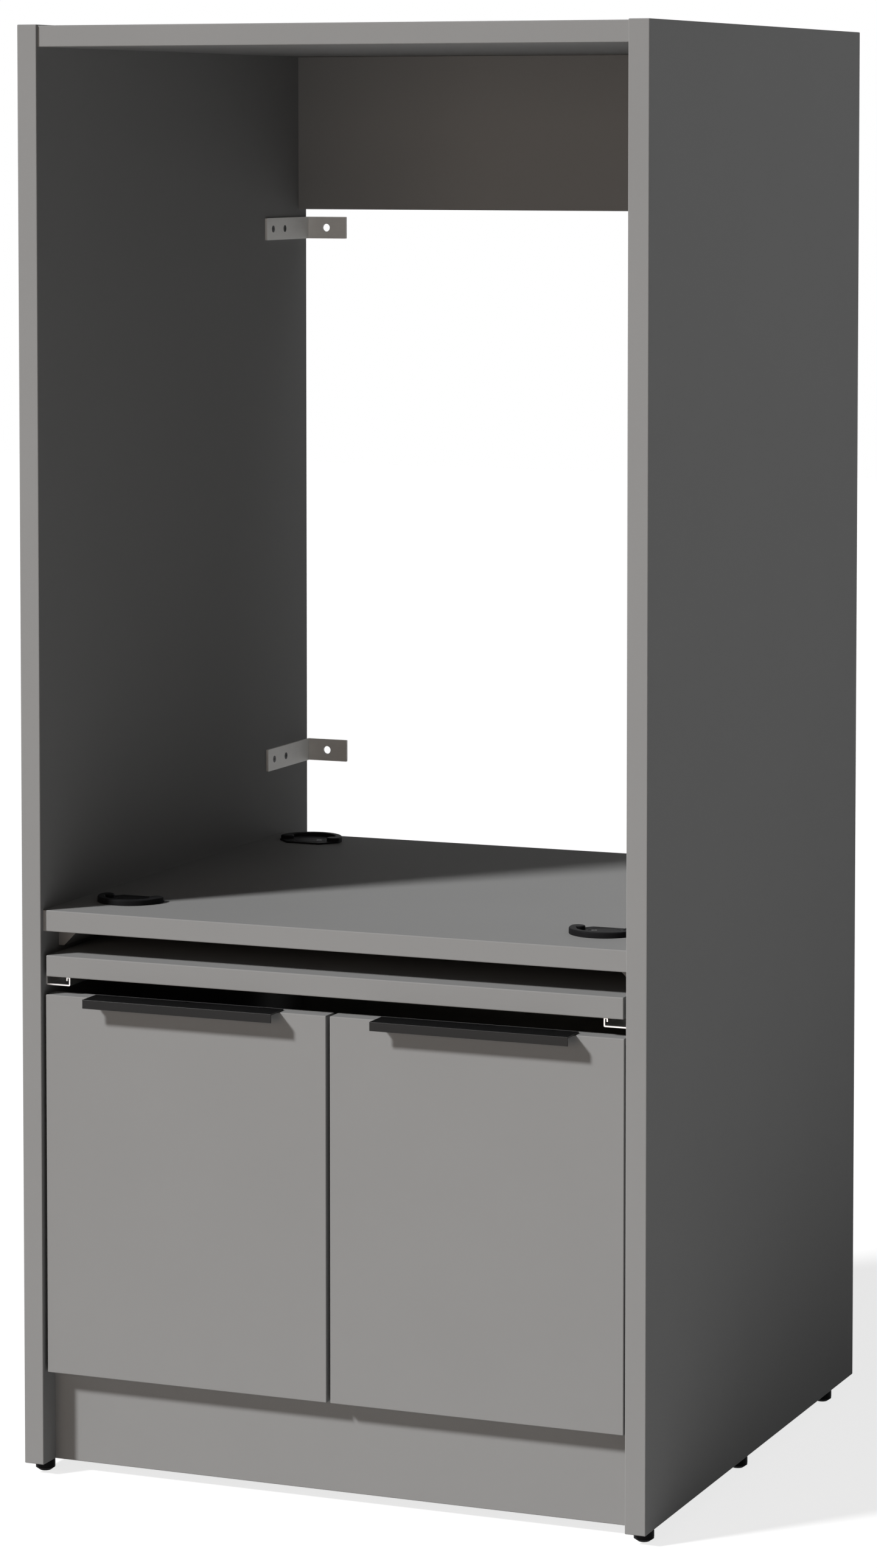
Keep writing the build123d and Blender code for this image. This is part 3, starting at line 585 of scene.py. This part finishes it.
ridge_form = bmesh.new()
bmesh.ops.create_cube(ridge_form, size=1.0)
bmesh.ops.scale(ridge_form, vec=[length * MM for length in RIDGE_SIZE], verts=ridge_form.verts)
uprights = [edge for edge in ridge_form.edges
            if abs(edge.verts[0].co.z - edge.verts[1].co.z) > MM]
bmesh.ops.bevel(ridge_form, geom=uprights, offset=RIDGE_ROUND * MM, offset_type="OFFSET",
                segments=3, profile=0.5, affect="EDGES", material=-1)
ridge = as_shape(ridge_form)
print("ridge with", len(ridge.polygons), "faces")

# %% Ridges round the feet
RIDGES = 20
RIDGE_MIDDLE = 7.9
RIDGE_SINK = 0.3
FOOT_RIM = 10.2


def foot_ridges(name):
    """Ridges round one levelling foot."""
    low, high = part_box(name)
    middle = Vector(((low[0] + high[0]) / 2, (low[1] + high[1]) / 2, RIDGE_MIDDLE * MM))
    outwards = Matrix.Translation(((FOOT_RIM - RIDGE_SINK) * MM, 0, 0))
    form = bmesh.new()
    for step in range(RIDGES):
        round_by = Matrix.Rotation(step * tau / RIDGES, 4, "Z")
        stamp(form, ridge, Matrix.Translation(middle) @ round_by @ outwards)
    return form


for side in SIDES:
    for place in ("front", "middle", "rear"):
        foot = side + "_" + place + "_foot"
        make_piece(foot_ridges(foot), side + "_" + place + "_foot_grip", foot, "black_plastic")

# %% [markdown]
# ## Domed door bumpers
# The clear discs that the doors close on are slightly domed. In the engineering model
# they are flat discs, and a bevel on those would keep a flat middle. So a domed outline
# of the same height and radius is turned, and the domes stand in for the discs.

# %% Door bumpers
BUMPER_R = 4.0
BUMPER_FROM_SIDE = 60.0
BUMPER_FROM_MIDDLE = 50.0
BUMPER_STEPS = 32
DOME_RISE = ((0, 1), (1.6, 0.97), (2.9, 0.82), (3.7, 0.5))
BUMPER_RIM = [(BUMPER_R, 0.15), (BUMPER_R, 0), (0, 0)]

low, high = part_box("door_bumpers")
thick = (high[1] - low[1]) / MM
arc = [(radius, thick * part) for radius, part in DOME_RISE]
bumper = as_shape(turned(arc + BUMPER_RIM, BUMPER_STEPS))
outer = INNER_FACE - BUMPER_FROM_SIDE * MM
inner = BUMPER_FROM_MIDDLE * MM
form = bmesh.new()
for x in (-outer, -inner, inner, outer):
    stamp(form, bumper, facing((x, high[1], (low[2] + high[2]) / 2), (0, -1, 0)))
domes = make_piece(form, "domed_bumpers", "cabinet", "soft_bumper")
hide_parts("door_bumpers")

# %% [markdown]
# ## Floor and air
# The photograph shows the cabinet on pure white. A floor that is bright enough to look
# white under these lamps would lose the cabinet's shadow or wash it out, so part of its
# white is a glow that only camera rays, reflections and clear plastic can see, and the
# air is white to the same rays alone. To scattered light the floor is plain pale paint,
# which lifts the lower parts of the boards as a real studio floor does.

# %% The floor
FLOOR_REACH = 14.0

ground = bmesh.new()
bmesh.ops.create_grid(ground, x_segments=1, y_segments=1, size=FLOOR_REACH)
floor_mesh = bpy.data.meshes.new("floor")
ground.to_mesh(floor_mesh)
ground.free()
floor = bpy.data.objects.new("floor", floor_mesh)
bpy.context.scene.collection.objects.link(floor)
print("floor", tuple(floor.dimensions))

# %% The floor's paint
FLOOR_PAINT = 0.6
FLOOR_SEEN = 0.35
FLOOR_GLOW = 0.775


def seen_rays(owner):
    """1 for camera, glossy and transmission rays, and 0 for light that is scattered."""
    rays = add(owner, "ShaderNodeLightPath")
    total = rays.outputs["Is Camera Ray"]
    for name in ("Is Glossy Ray", "Is Transmission Ray"):
        either = add(owner, "ShaderNodeMath", operation="MAXIMUM")
        join(owner, total, either.inputs[0])
        join(owner, rays.outputs[name], either.inputs[1])
        total = either.outputs["Value"]
    return total


floor_paint = finish("floor paint")
floor_paint.node_tree.nodes.remove(shader_of(floor_paint))
plain, pale = (add(floor_paint, "ShaderNodeBsdfDiffuse", Color=(tone, tone, tone, 1))
               for tone in (FLOOR_PAINT, FLOOR_SEEN))
glow = add(floor_paint, "ShaderNodeEmission", Strength=FLOOR_GLOW)
lit = add(floor_paint, "ShaderNodeAddShader")
either = add(floor_paint, "ShaderNodeMixShader")
join(floor_paint, pale.outputs["BSDF"], lit.inputs[0])
join(floor_paint, glow.outputs["Emission"], lit.inputs[1])
join(floor_paint, seen_rays(floor_paint), either.inputs["Fac"])
join(floor_paint, plain.outputs["BSDF"], either.inputs[1])
join(floor_paint, lit.outputs["Shader"], either.inputs[2])
surface = floor_paint.node_tree.nodes["Material Output"].inputs["Surface"]
join(floor_paint, either.outputs["Shader"], surface)
dress(floor, floor_paint)
print(floor_paint.name, "made of", len(floor_paint.node_tree.nodes), "nodes")

# %% The air around the cabinet
AIR_LEVEL = 0.004

air = bpy.data.worlds.new("air")
air.use_nodes = True
background = air.node_tree.nodes["Background"]
background.inputs["Color"].default_value = (1, 1, 1, 1)
level = add(air, "ShaderNodeMapRange", To_Min=AIR_LEVEL, To_Max=1.0)
join(air, seen_rays(air), level.inputs["Value"])
join(air, level.outputs["Result"], background.inputs["Strength"])
bpy.context.scene.world = air
print(air.name, "gives", AIR_LEVEL, "to scattered light and 1 to the rays that see it")

# %% [markdown]
# ## Lamps
# The pulls throw short, fairly crisp shadows on the doors, down and to the right, and
# the left side's shadow crosses the machine's shelf as a line that gets softer to the
# back. Both tell where the main lamp stands, to the left, in front and above, and that
# it looks six or seven degrees wide. A small area lamp close by would fan the shadows
# out, so this is a sun lamp, which has only a direction and a width. The pale floor
# gives back enough of its light to keep the right side from going black.

# %% The main lamp
SUN_RUN = Vector((0.885, 1.0, -1.0))
SUN_LEVEL = 3.62
SUN_WIDTH = 0.115

sun = bpy.data.objects.new("main lamp", bpy.data.lights.new("main lamp", "SUN"))
bpy.context.scene.collection.objects.link(sun)
sun.data.energy = SUN_LEVEL
sun.data.angle = SUN_WIDTH
sun.rotation_euler = SUN_RUN.to_track_quat("-Z", "Y").to_euler()
print(sun.name, SUN_LEVEL, "W on each square metre")

# %% [markdown]
# Two broad, weak lamps stand for the cards of a studio. The one in front is slightly
# warm, as the shadows on the doors are in the photograph, and stands a little to the
# left, so it lifts the faces that look forward and leaves the inside of the left board
# mostly to the floor's light. The one on the right stands higher and keeps the outer
# side a clear grey.

# %% The broad lamps
CARDS = {"front card": ((-0.7, -5.0, 0.8), (0.0, -0.3, 0.8), 2.5, 45.0, (1.0, 0.82, 0.68)),
         "right card": ((3.3, 0.5, 2.7), (0.345, 0.0, 1.15), 1.6, 13.0, (0.98, 0.99, 1.0))}

for name, (place, aim, size, watts, colour) in CARDS.items():
    card = bpy.data.objects.new(name, bpy.data.lights.new(name, "AREA"))
    bpy.context.scene.collection.objects.link(card)
    card.data.shape = "SQUARE"
    card.data.size = size
    card.data.energy = watts
    card.data.color = colour
    card.location = place
    card.rotation_euler = (Vector(aim) - Vector(place)).to_track_quat("-Z", "Y").to_euler()
    print(name, watts, "W")

# %% [markdown]
# ## The view transform
# The dressed cabinet must keep the size of the engineering model, whose box is printed at
# the start. The last cell sets the Standard view transform.

# %% Set the view transform
bpy.context.scene.view_settings.view_transform = "Standard"
